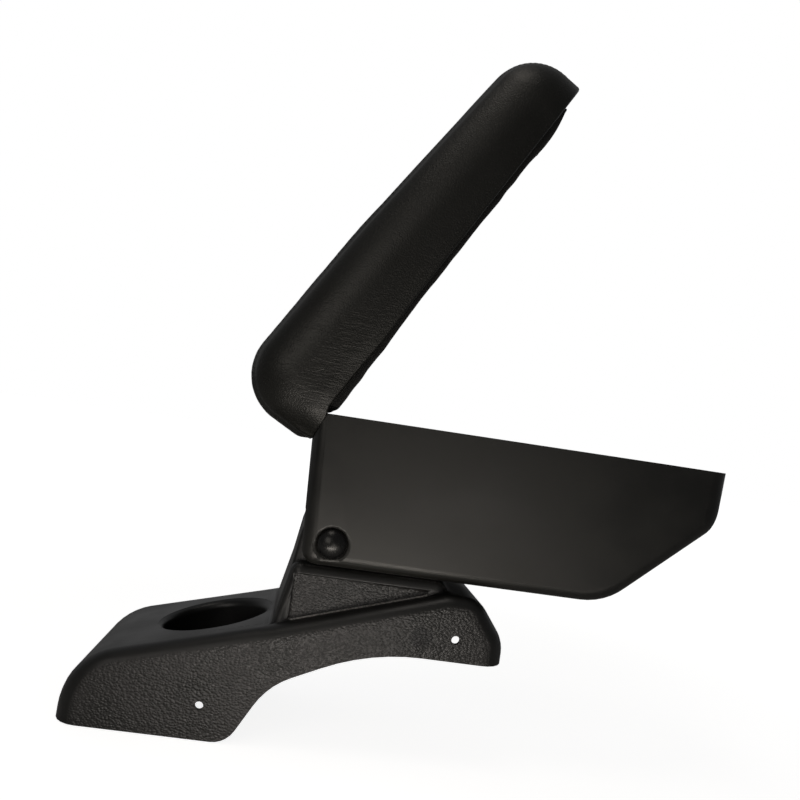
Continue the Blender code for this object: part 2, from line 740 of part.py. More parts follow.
box_plate = [on_chamfer(a, b) for a, b in (
    (0.0, -LEAF_POCKET + SEAT_GAP), (0.0, -LEAF_POCKET + SEAT_GAP + LEAF_T),
    (LEAF_LEN, -LEAF_POCKET + SEAT_GAP + LEAF_T), (LEAF_LEN, -LEAF_POCKET + SEAT_GAP))]
box_face = -LEAF_POCKET + SEAT_GAP + LEAF_T
holes = [rod("hole", space(on_chamfer(SCREW_X, THROUGH), y),
             space(on_chamfer(SCREW_X, -THROUGH), y), SCREW_SHANK_R + SCREW_FIT) for y in SCREW_Y]
leaf = hinge_leaf("leaf", box_plate, AXIS, 0, holes)
finish(leaf, "hinge_leaf_box", ZINC, BOX_TILT)
inward = -Vector((CHAMFER_OUT.x, 0.0, CHAMFER_OUT.y))
for k, y in enumerate(SCREW_Y):
    face = space(on_chamfer(SCREW_X, box_face + SEAT_GAP / 3), y)
    finish(screw("screw", face, inward, LEAF_T + SCREW_BITE), "box_hinge_screw_%d" % (k + 1),
           ZINC, BOX_TILT)


# Lid, in its closed position round the hinge axis

def lid_body(name):
    points = rounded([
        (-LID_REAR, LID_BASE, 0.0),
        (-LID_REAR - LID_REAR_LEAN, LID_BASE + LID_H_REAR, LID_REAR_R),
        (LID_SWELL_X, LID_BASE + LID_SWELL_Z, LID_SWELL_R),
        (LID_FRONT + LID_FRONT_LEAN, LID_BASE + LID_H_FRONT, LID_FRONT_R),
        (LID_FRONT, LID_BASE, 0.0),
    ], closed=False)
    normals = outward(points, closed=False)
    normals[0] = Vector((-1.0, 0.0))
    normals[-1] = Vector((1.0, 0.0))
    radii = []
    for n in normals:
        upright = abs(n.x) ** 3
        radii.append(LID_EDGE_R + (LID_END_R - LID_EDGE_R) * upright)
    return pillow(name, points, normals, radii, LID_HALF)


def panel(name, x0, x1, half, corner, z0, z1):
    """A flat panel with rounded corners in plan."""
    ring = rounded([(x0, -half, corner), (x0, half, corner), (x1, half, corner),
                    (x1, -half, corner)])
    return skin(name, [[(p.x, p.y, z) for p in ring] for z in (z0, z1)])


cushion = lid_body("cushion")
board_z0 = LID_BASE + SEAT_GAP
board_z1 = LID_BASE + BOARD_T
cut(cushion, panel("board_space", -LID_REAR + BOARD_INSET, LID_FRONT - BOARD_INSET,
                   LID_HALF - BOARD_INSET, LID_END_R - BOARD_INSET, -THROUGH,
                   board_z1 + SEAT_GAP))
finish(cushion, "lid_cushion", LEATHER, LID_SWING)

board_inset = BOARD_INSET + SEAT_GAP
board = panel("board", -LID_REAR + board_inset, LID_FRONT - board_inset,
              LID_HALF - board_inset, LID_END_R - board_inset, board_z0, board_z1)
ORIGIN = Vector((0.0, 0.0))
cut(board, tube_y("relief", KNUCKLE_R + KNUCKLE_RELIEF, -LEAF_HALF - SEAT_GAP,
                  LEAF_HALF + SEAT_GAP, sides=20))
leaf_z0 = board_z0
leaf_z1 = leaf_z0 + LEAF_T
cut(board, panel("leaf_space", -LEAF_LEN - SEAT_GAP, 0.0, LEAF_HALF + SEAT_GAP, 0.0,
                 -THROUGH, leaf_z1 + SEAT_GAP))
for y in SCREW_Y:
    cut(board, rod("hole", Vector((-SCREW_X, y, -THROUGH)), Vector((-SCREW_X, y, board_z1 - HOLE_FLOOR)),
                   SCREW_SHANK_R + SCREW_FIT))
lining_screws = [(x, y) for x in LINING_SCREW_X for y in (-LINING_SCREW_Y, LINING_SCREW_Y)]
for x, y in lining_screws:
    cut(board, rod("hole", Vector((x, y, -THROUGH)), Vector((x, y, board_z1 - HOLE_FLOOR)),
                   SCREW_SHANK_R + SCREW_FIT))
finish(board, "lid_board", BOARD, LID_SWING)

lid_plate = [Vector(p) for p in ((-LEAF_LEN, leaf_z0), (-LEAF_LEN, leaf_z1),
                                 (0.0, leaf_z1), (0.0, leaf_z0))]
holes = [rod("hole", Vector((-SCREW_X, y, -THROUGH)), Vector((-SCREW_X, y, THROUGH)),
             SCREW_SHANK_R + SCREW_FIT) for y in SCREW_Y]
leaf = hinge_leaf("leaf", lid_plate, ORIGIN, 1, holes)
finish(leaf, "hinge_leaf_lid", ZINC, LID_SWING)
for k, y in enumerate(SCREW_Y):
    face = Vector((-SCREW_X, y, leaf_z0 - SEAT_GAP / 3))
    finish(screw("screw", face, Vector((0, 0, 1)), LEAF_T + SCREW_BITE_LID),
           "lid_hinge_screw_%d" % (k + 1), ZINC, LID_SWING)
pin = tube_y("pin", PIN_R, -LEAF_HALF + SEAT_GAP, LEAF_HALF - SEAT_GAP, sides=12)
finish(pin, "hinge_pin", ZINC, LID_SWING)

lining = panel("lining", LINING_REAR, LINING_FRONT, LINING_HALF, LINING_R,
               board_z0 - SEAT_GAP - LINING_T, board_z0 - SEAT_GAP)
for x, y in lining_screws:
    cut(lining, rod("hole", Vector((x, y, -THROUGH)), Vector((x, y, THROUGH)),
                    SCREW_SHANK_R + SCREW_FIT))
finish(lining, "lid_lining", LINING, LID_SWING)
for k, (x, y) in enumerate(lining_screws):
    low = board_z0 - SEAT_GAP - LINING_T
    head = low - SEAT_GAP
    piece = rod("screw", Vector((x, y, head)), Vector((x, y, head - LINING_SCREW_HEAD)),
                LINING_SCREW_R, 16)
    join(piece, rod("shank", Vector((x, y, head - LINING_SCREW_HEAD / 2)),
                    Vector((x, y, board_z1 - HOLE_FLOOR - SCREW_HEAD)), SCREW_SHANK_R, 10))
    finish(piece, "lining_screw_%d" % (k + 1), ZINC, LID_SWING)
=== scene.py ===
# %% [markdown]
# A car armrest in three moving parts: a moulded base with a cup well, a storage box
# that tilts on a pivot, and a padded lid on a hinge, shown open. The solids come
# packed, at their real size. This lesson dresses them: a leather cover with its
# seams and creases, a cloth lining, and plastics with the grain of their moulds.
# Everything is in metres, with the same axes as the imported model.

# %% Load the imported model
import json
import math

import bmesh
import bpy
import numpy as np
from mathutils import Matrix, Vector


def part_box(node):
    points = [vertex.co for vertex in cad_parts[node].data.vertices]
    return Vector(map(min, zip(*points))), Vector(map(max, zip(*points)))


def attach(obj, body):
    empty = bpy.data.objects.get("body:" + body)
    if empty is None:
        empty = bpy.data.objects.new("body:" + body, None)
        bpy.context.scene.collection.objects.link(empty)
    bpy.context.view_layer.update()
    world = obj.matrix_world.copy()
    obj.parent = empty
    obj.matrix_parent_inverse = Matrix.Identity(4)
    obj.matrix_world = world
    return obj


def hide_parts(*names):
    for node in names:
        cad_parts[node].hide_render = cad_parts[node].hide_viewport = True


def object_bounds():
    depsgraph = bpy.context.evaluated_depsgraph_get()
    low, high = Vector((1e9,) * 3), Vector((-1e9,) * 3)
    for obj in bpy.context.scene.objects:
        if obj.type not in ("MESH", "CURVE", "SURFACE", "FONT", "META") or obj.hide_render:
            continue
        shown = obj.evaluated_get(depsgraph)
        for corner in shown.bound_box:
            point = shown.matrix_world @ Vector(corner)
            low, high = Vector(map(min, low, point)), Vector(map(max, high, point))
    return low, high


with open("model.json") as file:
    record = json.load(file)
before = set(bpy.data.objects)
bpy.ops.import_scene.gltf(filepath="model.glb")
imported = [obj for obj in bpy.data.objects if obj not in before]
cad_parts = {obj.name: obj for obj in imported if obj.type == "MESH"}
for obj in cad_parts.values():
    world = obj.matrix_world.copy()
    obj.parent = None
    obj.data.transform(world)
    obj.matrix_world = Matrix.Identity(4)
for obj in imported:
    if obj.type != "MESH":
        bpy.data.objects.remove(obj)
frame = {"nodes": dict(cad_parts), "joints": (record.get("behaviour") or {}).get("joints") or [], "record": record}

CAD_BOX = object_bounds()
MM = 0.001
nodes = frame["nodes"]
joints = {j["name"]: j for j in frame["joints"]}
print("nodes", len(nodes), "box", [[round(v, 4) for v in p] for p in CAD_BOX])

# %% [markdown]
# Colours are chosen as they look on a screen, in sRGB. Blender's shaders want linear
# light, so one function turns a hex colour to linear. A second small function adds
# any node: its settings, the values of its sockets, and its links, all by name.

# %% Colour and node helpers
def linear(hex_colour):
    """sRGB to linear: c / 12.92 near black, ((c + 0.055) / 1.055) ** 2.4 above."""
    parts = [int(hex_colour[i:i + 2], 16) / 255 for i in (1, 3, 5)]
    return [c / 12.92 if c <= 0.04045 else ((c + 0.055) / 1.055) ** 2.4 for c in parts] + [1.0]


def add(material, kind, inputs=None, **settings):
    """Adds a node. A socket's value is a number, a colour, or another node's output."""
    node = material.node_tree.nodes.new(kind)
    for key, value in settings.items():
        setattr(node, key, value)
    for key, value in (inputs or {}).items():
        if isinstance(value, bpy.types.NodeSocket):
            material.node_tree.links.new(value, node.inputs[key])
        else:
            node.inputs[key].default_value = value
    return node


def new_material(name, colour, roughness, metallic=0.0):
    material = bpy.data.materials.new(name)
    material.use_nodes = True
    shader = material.node_tree.nodes["Principled BSDF"]
    shader.inputs["Base Color"].default_value = linear(colour)
    shader.inputs["Roughness"].default_value = roughness
    shader.inputs["Metallic"].default_value = metallic
    return material, shader


def link(material, output, socket):
    material.node_tree.links.new(output, socket)


def cells_per_metre(size_mm):
    """Texture scale for a pattern whose cells are this wide."""
    return 1.0 / (size_mm * MM)


def stretched(material, along_mm, across_mm, high_mm, turn=(0.0, 0.0, 0.0)):
    """Object coordinates scaled so that one unit is one cell of that size."""
    place = add(material, "ShaderNodeTexCoord").outputs["Object"]
    return add(material, "ShaderNodeMapping", {
        "Vector": place, "Rotation": turn,
        "Scale": [cells_per_metre(s) for s in (along_mm, across_mm, high_mm)],
    }).outputs["Vector"]


def ramp(material, value, low, high, out_low=0.0, out_high=1.0, smooth=True):
    """Maps low..high onto out_low..out_high, held at both ends."""
    kind = 'SMOOTHSTEP' if smooth else 'LINEAR'
    return add(material, "ShaderNodeMapRange", {
        "Value": value, "From Min": low, "From Max": high, "To Min": out_low, "To Max": out_high,
    }, interpolation_type=kind).outputs["Result"]


def maths(material, operation, a, b=0.0):
    return add(material, "ShaderNodeMath", {0: a, 1: b}, operation=operation).outputs[0]


# %% [markdown]
# The base is injection-moulded polypropylene. Its mould was etched on the side walls
# and in the pedestal's recess, which gives a fine pebble: small flat-topped bumps
# with soft valleys, that break a reflection into glitter. The deck, the shoulders and
# the nose came from a smoother part of the mould. The walls are the only places where
# the distance from the middle plane is at its greatest, so that distance, read from
# the object's own coordinates, says where the pebble is.

# %% Grained plastic of the base
PEBBLE_MM = 1.70             # width of one pebble
PEBBLE_DEPTH_MM = 0.62       # drawn deeper than the mould's 0.05 mm, so that it shows
base_low, base_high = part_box("base_shell")
WALL_Y = base_high.y
RECESS_Y = 0.0505            # the recessed face of the pedestal's cheeks
PEDESTAL_Y = 0.0530          # and the face around it: the step between them gets a painted highlight
DARK_DISC_AT = (0.2457, 0.0, 0.0899)       # centre of a darker, rougher round disc on the side walls
DARK_DISC_R = 0.0078


def grained_plastic():
    material, shader = new_material("grained_polypropylene", "#141316", 0.4)
    pebble_place = stretched(material, PEBBLE_MM * 1.15, PEBBLE_MM, PEBBLE_MM * 0.9)
    pebble = add(material, "ShaderNodeTexVoronoi", {"Vector": pebble_place, "Scale": 1.0,
                                                    "Smoothness": 0.3, "Randomness": 1.0},
                 feature='SMOOTH_F1').outputs["Distance"]
    place = add(material, "ShaderNodeTexCoord").outputs["Object"]
    split = add(material, "ShaderNodeSeparateXYZ", {"Vector": place})
    out = maths(material, 'ABSOLUTE', split.outputs["Y"])
    wall = ramp(material, out, WALL_Y - 0.0016, WALL_Y - 0.0002)
    from_recess = maths(material, 'ABSOLUTE', maths(material, 'SUBTRACT', out, RECESS_Y))
    recess = ramp(material, from_recess, 0.0002, 0.0006, 1.0, 0.0)
    above_deck = ramp(material, split.outputs["Z"], 0.060, 0.080)
    grained = maths(material, 'MAXIMUM', wall, maths(material, 'MULTIPLY', recess, above_deck))
    strength = ramp(material, grained, 0.0, 1.0, 0.06, 1.0)
    fine = add(material, "ShaderNodeTexNoise", {"Vector": stretched(material, 0.5, 0.5, 0.5),
                                                "Scale": 1.0, "Detail": 3.0}).outputs["Fac"]
    first = add(material, "ShaderNodeBump", {
        "Strength": strength, "Distance": PEBBLE_DEPTH_MM * MM, "Height": pebble},
        invert=True).outputs["Normal"]
    normal = add(material, "ShaderNodeBump", {
        "Strength": 0.25, "Distance": 0.03 * MM, "Height": fine, "Normal": first}).outputs["Normal"]
    patches = add(material, "ShaderNodeTexNoise", {"Vector": stretched(material, 45, 45, 45),
                                                   "Scale": 1.0, "Detail": 4.0}).outputs["Fac"]
    roughness = maths(material, 'ADD', ramp(material, patches, 0.3, 0.7, 0.34, 0.44),
                      ramp(material, grained, 0.0, 1.0, 0.0, 0.07))
    tint = add(material, "ShaderNodeMix", {
        "Factor": ramp(material, patches, 0.35, 0.68, 0.0, 1.0),
        "A": linear("#212120"), "B": linear("#2c2b2b")}, data_type='RGBA').outputs["Result"]
    tint = add(material, "ShaderNodeMix", {"Factor": grained, "A": linear("#161615"), "B": tint},
               data_type='RGBA').outputs["Result"]
    facing = add(material, "ShaderNodeSeparateXYZ", {
        "Vector": add(material, "ShaderNodeNewGeometry").outputs["True Normal"]}).outputs["Z"]
    # Painted highlight: the upward-facing step between the recess and the pedestal face, flecked by glint noise,
    # is mixed toward pale grey
    step = maths(material, 'MULTIPLY', ramp(material, out, RECESS_Y + 0.0001, RECESS_Y + 0.0003),
                 ramp(material, out, PEDESTAL_Y - 0.0004, PEDESTAL_Y, 1.0, 0.0))
    step = maths(material, 'MULTIPLY', step, ramp(material, facing, 0.30, 0.60))
    step = maths(material, 'MULTIPLY', step, ramp(material, split.outputs["X"], 0.150, 0.1515))
    step = maths(material, 'MULTIPLY', step,
                 ramp(material, split.outputs["Z"], 0.1195, 0.1205, 1.0, 0.0))
    glint = add(material, "ShaderNodeTexNoise", {"Vector": stretched(material, 1.6, 1.6, 1.6),
                                                 "Scale": 1.0, "Detail": 2.0}).outputs["Fac"]
    step = maths(material, 'MULTIPLY', step, ramp(material, glint, 0.35, 0.62, 0.35, 1.0))
    tint = add(material, "ShaderNodeMix", {"Factor": step, "A": tint, "B": linear("#a8a6a3")},
               data_type='RGBA').outputs["Result"]
    # A darker, rougher round disc on the side walls, mixed toward near black
    flat = add(material, "ShaderNodeCombineXYZ", {"X": split.outputs["X"],
                                                  "Z": split.outputs["Z"]}).outputs["Vector"]
    from_mark = add(material, "ShaderNodeVectorMath", {0: flat, 1: DARK_DISC_AT},
                    operation='DISTANCE').outputs["Value"]
    mark = maths(material, 'MULTIPLY', wall, ramp(material, from_mark, DARK_DISC_R * 0.75,
                                                  DARK_DISC_R * 1.2, 0.75, 0.0))
    tint = add(material, "ShaderNodeMix", {"Factor": mark, "A": tint, "B": linear("#08080a")},
               data_type='RGBA').outputs["Result"]
    roughness = maths(material, 'ADD', roughness, maths(material, 'MULTIPLY', mark, 0.12))
    shader.inputs["Specular Tint"].default_value = linear("#f3f4f8")
    link(material, tint, shader.inputs["Base Color"])
    link(material, roughness, shader.inputs["Roughness"])
    link(material, normal, shader.inputs["Normal"])
    return material


# %% [markdown]
# The storage box is a satin moulding: no pebble, only the faint orange peel of a
# blasted mould. It shows broad soft reflections, so its roughness varies slowly.

# %% Satin plastic of the box
def satin_plastic():
    material, shader = new_material("satin_abs", "#141413", 0.38)
    peel = add(material, "ShaderNodeTexNoise", {"Vector": stretched(material, 1.1, 1.1, 1.1),
                                                "Scale": 1.0, "Detail": 3.0}).outputs["Fac"]
    cloud = add(material, "ShaderNodeTexNoise", {"Vector": stretched(material, 60, 60, 40),
                                                 "Scale": 1.0, "Detail": 5.0}).outputs["Fac"]
    normal = add(material, "ShaderNodeBump", {"Strength": 0.35, "Distance": 0.035 * MM,
                                              "Height": peel}).outputs["Normal"]
    tint = add(material, "ShaderNodeMix", {"Factor": ramp(material, cloud, 0.35, 0.65),
                                           "A": linear("#131312"), "B": linear("#181816")},
               data_type='RGBA')
    link(material, tint.outputs["Result"], shader.inputs["Base Color"])
    link(material, ramp(material, cloud, 0.3, 0.7, 0.31, 0.43), shader.inputs["Roughness"])
    link(material, normal, shader.inputs["Normal"])
    return material


# %% Gloss plastic of the pivot caps, plated steel, board and cloth
def gloss_plastic():
    """Polished styrene, worn a little: a soft bright reflection with fine scuffs."""
    material, shader = new_material("polished_polystyrene", "#0c0c0c", 0.16)
    scuff = add(material, "ShaderNodeTexNoise", {"Vector": stretched(material, 0.4, 3.0, 3.0),
                                                 "Scale": 1.0, "Detail": 4.0}).outputs["Fac"]
    link(material, ramp(material, scuff, 0.40, 0.70, 0.26, 0.36), shader.inputs["Roughness"])
    return material


def zinc_steel():
    """Pressed steel under zinc: pale grey metal, brushed by handling."""
    material, shader = new_material("zinc_plated_steel", "#b9b8b2", 0.34, 1.0)
    streak = add(material, "ShaderNodeTexNoise", {"Vector": stretched(material, 0.6, 9.0, 0.6),
                                                  "Scale": 1.0, "Detail": 3.0}).outputs["Fac"]
    link(material, ramp(material, streak, 0.3, 0.7, 0.26, 0.42), shader.inputs["Roughness"])
    return material


def board_plastic():
    """The lid's carrier board: plain rough moulding, never polished."""
    material, shader = new_material("recycled_abs_board", "#151515", 0.6)
    grit = add(material, "ShaderNodeTexNoise", {"Vector": stretched(material, 0.7, 0.7, 0.7),
                                                "Scale": 1.0, "Detail": 4.0}).outputs["Fac"]
    normal = add(material, "ShaderNodeBump", {"Strength": 0.4, "Distance": 0.06 * MM,
                                              "Height": grit}).outputs["Normal"]
    link(material, normal, shader.inputs["Normal"])
    return material


THREAD_MM = 0.7              # spacing of the cloth's threads


def lining_cloth():
    """Black polyester trim cloth: matt, with crossed threads."""
    material, shader = new_material("polyester_trim_cloth", "#09090a", 0.9)
    shader.inputs["Sheen Weight"].default_value = 0.10
    shader.inputs["Sheen Roughness"].default_value = 0.5
    uv = add(material, "ShaderNodeUVMap", uv_map="surface").outputs["UV"]
    split = add(material, "ShaderNodeSeparateXYZ", {"Vector": uv})
    turn = 2.0 * math.pi / (THREAD_MM * MM)
    warp = maths(material, 'SINE', maths(material, 'MULTIPLY', split.outputs["X"], turn))
    weft = maths(material, 'SINE', maths(material, 'MULTIPLY', split.outputs["Y"], turn))
    weave = maths(material, 'MULTIPLY', warp, weft)
    normal = add(material, "ShaderNodeBump", {"Strength": 0.5, "Distance": 0.12 * MM,
                                              "Height": weave}).outputs["Normal"]
    link(material, normal, shader.inputs["Normal"])
    return material


# %% [markdown]
# The lid's cover is synthetic leather: a thin PVC skin on cloth, embossed with a fine
# pebble and stretched over foam. The grain is a cell pattern under a millimetre wide,
# the creases between the grains catch the light where the skin bends, and handling
# has left slightly shinier patches. The larger creases are in the mesh itself.

# %% Synthetic leather of the lid
GRAIN_MM = 1.1
CREASE_CELL_MM = (3.4, 14.0, 23.0)      # along the lid, across it, and up its side
CREASE_DEPTH_MM = 0.11


def synthetic_leather():
    material, shader = new_material("pvc_leather", "#0f0f0d", 0.4)
    grain = add(material, "ShaderNodeTexVoronoi", {
        "Vector": stretched(material, GRAIN_MM, GRAIN_MM, GRAIN_MM), "Scale": 1.0,
        "Smoothness": 0.3}, feature='SMOOTH_F1').outputs["Distance"]
    place = add(material, "ShaderNodeTexCoord").outputs["Object"]
    along_lid = add(material, "ShaderNodeVectorRotate", {
        "Vector": place, "Center": (0.1562, 0.0, 0.2364), "Axis": (0.0, 1.0, 0.0),
        "Angle": math.radians(59.9)}).outputs["Vector"]
    split = add(material, "ShaderNodeSeparateXYZ", {"Vector": along_lid})
    leaning = add(material, "ShaderNodeVectorRotate", {
        "Vector": along_lid, "Center": (0.1562, 0.0, 0.2364), "Axis": (0.0, 1.0, 0.0),
        "Angle": math.radians(28.0)}).outputs["Vector"]
    crease_place = add(material, "ShaderNodeMapping", {
        "Vector": leaning, "Scale": [cells_per_metre(m) for m in CREASE_CELL_MM]}).outputs["Vector"]
    creases = add(material, "ShaderNodeTexNoise", {
        "Vector": crease_place, "Scale": 1.0, "Detail": 2.0, "Roughness": 0.5,
        "Distortion": 0.4}).outputs["Fac"]
    ridge = maths(material, 'ABSOLUTE', maths(material, 'SUBTRACT', creases, 0.5))
    plates = ramp(material, ridge, 0.0, 0.11)
    worn = maths(material, 'MULTIPLY', ramp(material, split.outputs["X"], 0.132, 0.165),
                 ramp(material, split.outputs["X"], 0.180, 0.270, 1.0, 0.12))
    low = ramp(material, split.outputs["Z"], 0.268, 0.306, 1.0, 0.15)
    first = add(material, "ShaderNodeBump", {"Strength": 0.75, "Distance": 0.20 * MM,
                                             "Height": grain}, invert=True).outputs["Normal"]
    normal = add(material, "ShaderNodeBump", {
        "Strength": maths(material, 'MULTIPLY', worn, low), "Distance": CREASE_DEPTH_MM * MM,
        "Height": plates, "Normal": first}).outputs["Normal"]
    patches = add(material, "ShaderNodeTexNoise", {"Vector": stretched(material, 45, 45, 45),
                                                   "Scale": 1.0, "Detail": 1.0}).outputs["Fac"]
    tint = add(material, "ShaderNodeMix", {"Factor": ramp(material, patches, 0.35, 0.65),
                                           "A": linear("#0e0e0a"), "B": linear("#12120f")},
               data_type='RGBA')
    link(material, tint.outputs["Result"], shader.inputs["Base Color"])
    link(material, ramp(material, patches, 0.2, 0.8, 0.385, 0.415), shader.inputs["Roughness"])
    link(material, normal, shader.inputs["Normal"])
    return material


def thread_material():
    """Bonded nylon thread, black, with the slight shine of its wax."""
    material, shader = new_material("bonded_nylon_thread", "#0c0b0a", 0.6)
    ply = add(material, "ShaderNodeTexNoise", {"Vector": stretched(material, 0.3, 0.3, 0.3),
                                               "Scale": 1.0}).outputs["Fac"]
    normal = add(material, "ShaderNodeBump", {"Strength": 0.4, "Distance": 0.05 * MM,
                                              "Height": ply}).outputs["Normal"]
    link(material, normal, shader.inputs["Normal"])
    return material


FINISH = {
    "grained_plastic": grained_plastic(),
    "satin_plastic": satin_plastic(),
    "gloss_plastic": gloss_plastic(),
    "synthetic_leather": synthetic_leather(),
    "lining_cloth": lining_cloth(),
    "lid_board_plastic": board_plastic(),
    "zinc_steel": zinc_steel(),
}
for part in frame["record"]["subparts"]:
    mesh = nodes[part["node"]].data
    mesh.materials.clear()
    mesh.materials.append(FINISH[part["material_slot"]])
print("finishes", sorted(FINISH))

# %% [markdown]
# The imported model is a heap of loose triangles. For the three kinds of moulding that
# catch the light, the same triangles are joined at their shared points, so that their
# normals can run on smoothly over the fillets and still break at the sharp edges.

# %% Smooth copies of the mouldings
def smooth_copy(node, body, break_angle):
    source = nodes[node]
    mesh = source.data.copy()
    mesh.name = node + "_smooth"
    work = bmesh.new()
    work.from_mesh(mesh)
    bmesh.ops.remove_doubles(work, verts=work.verts[:], dist=0.000004)
    bmesh.ops.recalc_face_normals(work, faces=work.faces[:])
    work.to_mesh(mesh)
    work.free()
    mesh.shade_smooth()
    mesh.set_sharp_from_angle(angle=math.radians(break_angle))
    piece = bpy.data.objects.new(mesh.name, mesh)
    bpy.context.scene.collection.objects.link(piece)
    even = piece.modifiers.new("flats_stay_flat", 'WEIGHTED_NORMAL')
    even.keep_sharp = True
    even.weight = 100
    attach(piece, body)
    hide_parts(node)
    print(mesh.name, len(mesh.vertices), "points")
    return piece


smooth_copy("base_shell", "base", 32)
smooth_copy("box_shell", "box", 32)
smooth_copy("pivot_cap_right", "box", 40)
smooth_copy("pivot_cap_left", "box", 40)

# %% [markdown]
# The lid is easiest to think about closed: u runs forward from the hinge axis, w up
# from it, y across. One function turns such points to where the open lid is, by the
# hinge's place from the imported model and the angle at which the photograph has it.

# %% The lid's own axes
LID_OPEN = math.radians(59.9)
HINGE = np.array(joints["lid_hinge"]["pos_m"])


def lid_to_world(u, y, w):
    """Turns (u, w) by the opening angle about the hinge axis, and moves it there."""
    c, s = math.cos(LID_OPEN), math.sin(LID_OPEN)
    return np.stack([HINGE[0] + u * c - w * s, HINGE[1] + y, HINGE[2] + u * s + w * c], -1)


def smoothstep(low, high, x):
    t = np.clip((x - low) / (high - low), 0.0, 1.0)
    return t * t * (3.0 - 2.0 * t)


def value_noise(x, y, seed):
    """Random heights on a unit lattice, blended by smoothsteps: about -1 to 1."""
    def corner(i, j):
        n = np.sin(i * 127.1 + j * 311.7 + seed * 74.7) * 43758.5453
        return n - np.floor(n)
    i, j = np.floor(x), np.floor(y)
    a, b = x - i, y - j
    a, b = a * a * (3 - 2 * a), b * b * (3 - 2 * b)
    low = corner(i, j) * (1 - a) + corner(i + 1, j) * a
    high = corner(i, j + 1) * (1 - a) + corner(i + 1, j + 1) * a
    return 2.0 * (low * (1 - b) + high * b) - 1.0


# %% [markdown]
# A fillet between two straight runs is an arc that leaves one and joins the other.
# Joined end to end, runs and arcs give the lid's side view as one even line.

# %% The side view of the lid
def filleted(corners, spacing):
    """Straight runs between (u, w, radius) corners with arcs at each, evenly spaced."""
    pts = [np.array(corners[0][:2])]
    for before, here, after in zip(corners, corners[1:], corners[2:]):
        p, r = np.array(here[:2]), here[2]
        a = np.array(before[:2]) - p
        b = np.array(after[:2]) - p
        a, b = a / np.linalg.norm(a), b / np.linalg.norm(b)
        half = math.acos(a @ b) / 2
        centre = p + (a + b) / np.linalg.norm(a + b) * r / math.sin(half)
        start = p + a * r / math.tan(half) - centre
        end = p + b * r / math.tan(half) - centre
        steps = np.linspace(0.0, 1.0, 40)[:, None]
        angle = math.pi - 2 * half
        arc = (np.sin((1 - steps) * angle) * start + np.sin(steps * angle) * end) / math.sin(angle)
        pts.extend(centre + arc)
    pts.append(np.array(corners[-1][:2]))
    pts = np.array(pts)
    length = np.concatenate([[0.0], np.cumsum(np.linalg.norm(np.diff(pts, axis=0), axis=1))])
    even = np.linspace(0.0, length[-1], int(length[-1] / spacing) + 1)
    return np.stack([np.interp(even, length, pts[:, k]) for k in range(2)], -1), even


LID_REAR, LID_FRONT = -0.0251, 0.3034
HEM_W = 0.0023               # where the cover starts to turn under the lid
outline, along = filleted([
    (LID_REAR, HEM_W, 0.0),
    (LID_REAR - 0.0026, 0.0682, 0.0385),
    (0.1200, 0.0644, 0.8000),
    (LID_FRONT + 0.0028, 0.0510, 0.0365),
    (LID_FRONT + 0.0008, HEM_W, 0.0),
], 0.0005)
tangent = np.gradient(outline, axis=0)
tangent /= np.linalg.norm(tangent, axis=1, keepdims=True)
outward = np.stack([-tangent[:, 1], tangent[:, 0]], -1)
print("side view", len(outline), "points,", round(along[-1] * 1000), "mm round")


# %% [markdown]
# The cover is sewn from three panels, as on most armrests: a long centre panel that
# runs down the rear end, over the top and down the front end, and a side panel on
# each side. The two seams follow the side view 2.5 mm inside its outline, where the
# surface is already turning down. Across the seam the surface is one pillow: the
# distance d from the outline says how far the side has come out, as a quarter ellipse.

# %% Pillow section and its seam
HALF = 0.0660                # half the lid's width
TURN_IN = 0.0380             # how far in from the outline the side is still turning
TURN_OUT = 0.0275            # and how far out it comes on the way
SEAM_IN = 0.0025             # seam inside the outline, in side view
BULGE = 0.0010               # foam pushing the side panel out between seam and hem
TUCK = 0.0014                # the side comes in by this much down to its hem
GROOVE = 0.0009
GROOVE_WIDTH = 0.0013


def side_reach(d):
    """Quarter ellipse: half width - b + b * sqrt(1 - (1 - d / a)^2), level beyond d = a."""
    short = 1.0 - np.minimum(d, TURN_IN) / TURN_IN
    return HALF - TURN_OUT + TURN_OUT * np.sqrt(1.0 - short ** 2)


def flat_share(d):
    """How much of the surface's normal lies in the side view: slope / sqrt(1 + slope^2)."""
    short = 1.0 - np.minimum(d, TURN_IN) / TURN_IN
    slope = TURN_OUT / TURN_IN * short / np.sqrt(1.0 - short ** 2)
    return slope / np.sqrt(1.0 + slope ** 2)


def lid_inset(y):
    """The inverse: how far inside the outline the surface is at this distance across."""
    over = np.maximum(np.abs(y) - (HALF - TURN_OUT), 0.0) / TURN_OUT
    return TURN_IN * (1.0 - np.sqrt(1.0 - over ** 2))


SEAM_Y = float(side_reach(np.array(SEAM_IN)))
SEAM_FLAT = float(flat_share(np.array(SEAM_IN)))
SEAM_OUT = math.sqrt(1.0 - SEAM_FLAT ** 2)


def distance_to_outline(points):
    """Smallest distance from each point to the side view's line, in blocks."""
    flat = points.reshape(-1, 2)
    nearest = np.empty(len(flat))
    for start in range(0, len(flat), 2000):
        gap = flat[start:start + 2000, None, :] - outline[None, ::2, :]
        nearest[start:start + 2000] = np.sqrt((gap ** 2).sum(-1).min(1))
    return nearest.reshape(points.shape[:-1])


# %% [markdown]
# A side panel has four sides: the hem, and the seam split at its two upper corners.
# A Coons patch fills it: the blend of the two pairs of opposite sides, less the blend
# of the corners. Rows then run evenly, with no pole where the panel comes to a point.

# %% Grid of a side panel
REAR_TURN, FRONT_TURN = 0.045, 0.036      # seam lengths up the rear and front ends
COLUMNS, ROWS, ACROSS = 290, 54, 32


def seam_points(s):
    """The seam in side view: the outline moved in along its normal."""
    at = [np.interp(s, along, (outline - outward * SEAM_IN)[:, k]) for k in range(2)]
    return np.stack(at, -1)


